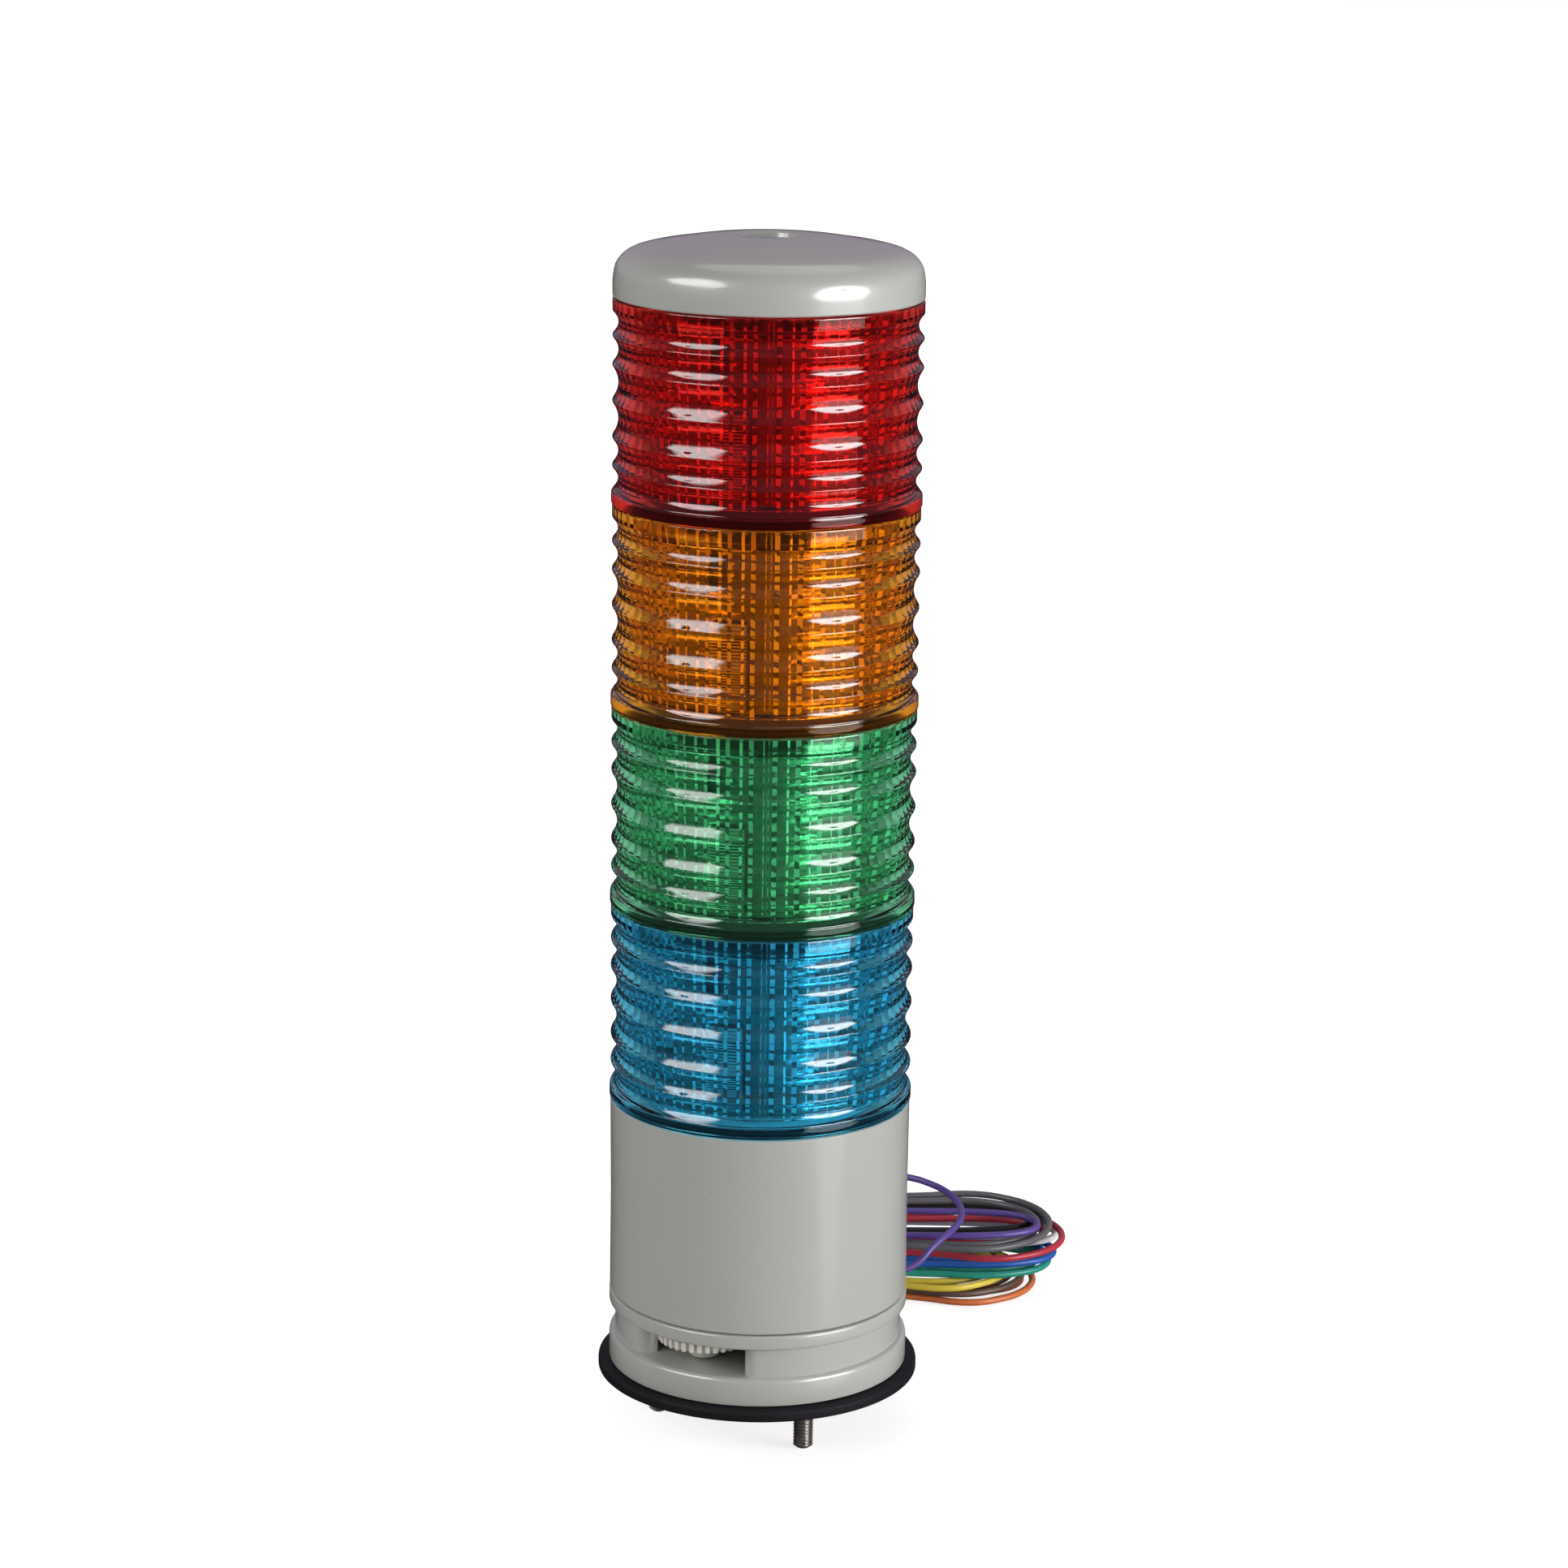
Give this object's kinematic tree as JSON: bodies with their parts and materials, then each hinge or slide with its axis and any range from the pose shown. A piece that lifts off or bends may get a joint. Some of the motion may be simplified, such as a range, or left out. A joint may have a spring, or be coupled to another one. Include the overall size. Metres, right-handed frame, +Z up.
{
  "type": "signal tower light",
  "caption": "Round signal tower light: stacked ribbed coloured lenses on a grey base with a toothed volume wheel, mounting studs and loose hook-up leads.",
  "frame": {"origin": "on the tower's axis, at the plane of the three stud tips, which is the surface that it stands on", "axes": "+Z up along the tower's axis, -Y towards the front, where the volume wheel shows, +X to the right as seen from the front"},
  "size_m": [0.1, 0.1253, 0.2407],
  "materials": {
    "grey_plastic": "satin moulded",
    "black_rubber": "matte",
    "black_plastic": "matte moulded",
    "wheel_plastic": "satin moulded",
    "pot_plastic": "satin moulded",
    "board": "lacquered board",
    "zinc_steel": "zinc plated",
    "nickel_brass": "nickel plated",
    "silver_plastic": "bright metallised",
    "clear_plastic": "clear fluted",
    "lens_blue": "clear coloured",
    "lens_green": "clear coloured",
    "lens_orange": "clear coloured",
    "lens_red": "clear coloured",
    "insulation_orange": "smooth insulation",
    "insulation_black": "smooth insulation",
    "insulation_yellow": "smooth insulation",
    "insulation_brown": "smooth insulation",
    "insulation_green": "smooth insulation",
    "insulation_blue": "smooth insulation",
    "insulation_red": "smooth insulation",
    "insulation_white": "smooth insulation",
    "insulation_grey": "smooth insulation",
    "insulation_violet": "smooth insulation"
  },
  "bodies": {
    "tower": {"mounting_stud_front": "zinc_steel", "mounting_stud_rear": "zinc_steel", "mounting_stud_side": "zinc_steel", "gasket": "black_rubber", "base_foot": "grey_plastic", "lead_grommet": "black_rubber", "volume_pot": "pot_plastic", "control_board": "board", "sounder": "black_plastic", "base_housing": "grey_plastic", "seal_blue": "black_rubber", "tier_plate_blue": "black_plastic", "lens_blue": "lens_blue", "prism_blue": "clear_plastic", "led_board_blue": "board", "reflector_blue": "silver_plastic", "seal_green": "black_rubber", "tier_plate_green": "black_plastic", "lens_green": "lens_green", "prism_green": "clear_plastic", "led_board_green": "board", "reflector_green": "silver_plastic", "seal_orange": "black_rubber", "tier_plate_orange": "black_plastic", "lens_orange": "lens_orange", "prism_orange": "clear_plastic", "led_board_orange": "board", "reflector_orange": "silver_plastic", "seal_red": "black_rubber", "tier_plate_red": "black_plastic", "lens_red": "lens_red", "prism_red": "clear_plastic", "led_board_red": "board", "reflector_red": "silver_plastic", "seal_cap": "black_rubber", "tie_rod": "zinc_steel", "top_cap": "grey_plastic", "cap_washer": "zinc_steel", "cap_nut": "nickel_brass", "lead_orange": "insulation_orange", "coil_orange": "insulation_orange", "lead_black": "insulation_black", "coil_black": "insulation_black", "lead_yellow": "insulation_yellow", "coil_yellow": "insulation_yellow", "lead_brown": "insulation_brown", "coil_brown": "insulation_brown", "lead_green": "insulation_green", "coil_green": "insulation_green", "lead_blue": "insulation_blue", "coil_blue": "insulation_blue", "lead_red": "insulation_red", "coil_red": "insulation_red", "lead_white": "insulation_white", "coil_white": "insulation_white", "lead_grey": "insulation_grey", "coil_grey": "insulation_grey", "lead_violet": "insulation_violet", "coil_violet": "insulation_violet"},
    "wheel": {"volume_wheel": "wheel_plastic"}
  },
  "joints": [
    {"name": "volume_turn", "type": "hinge", "parent": "tower", "child": "wheel", "pos_m": [-0.01039, -0.01662, 0.0226], "axis": [0, 0, 1], "range_deg": [-135, 135]}
  ]
}
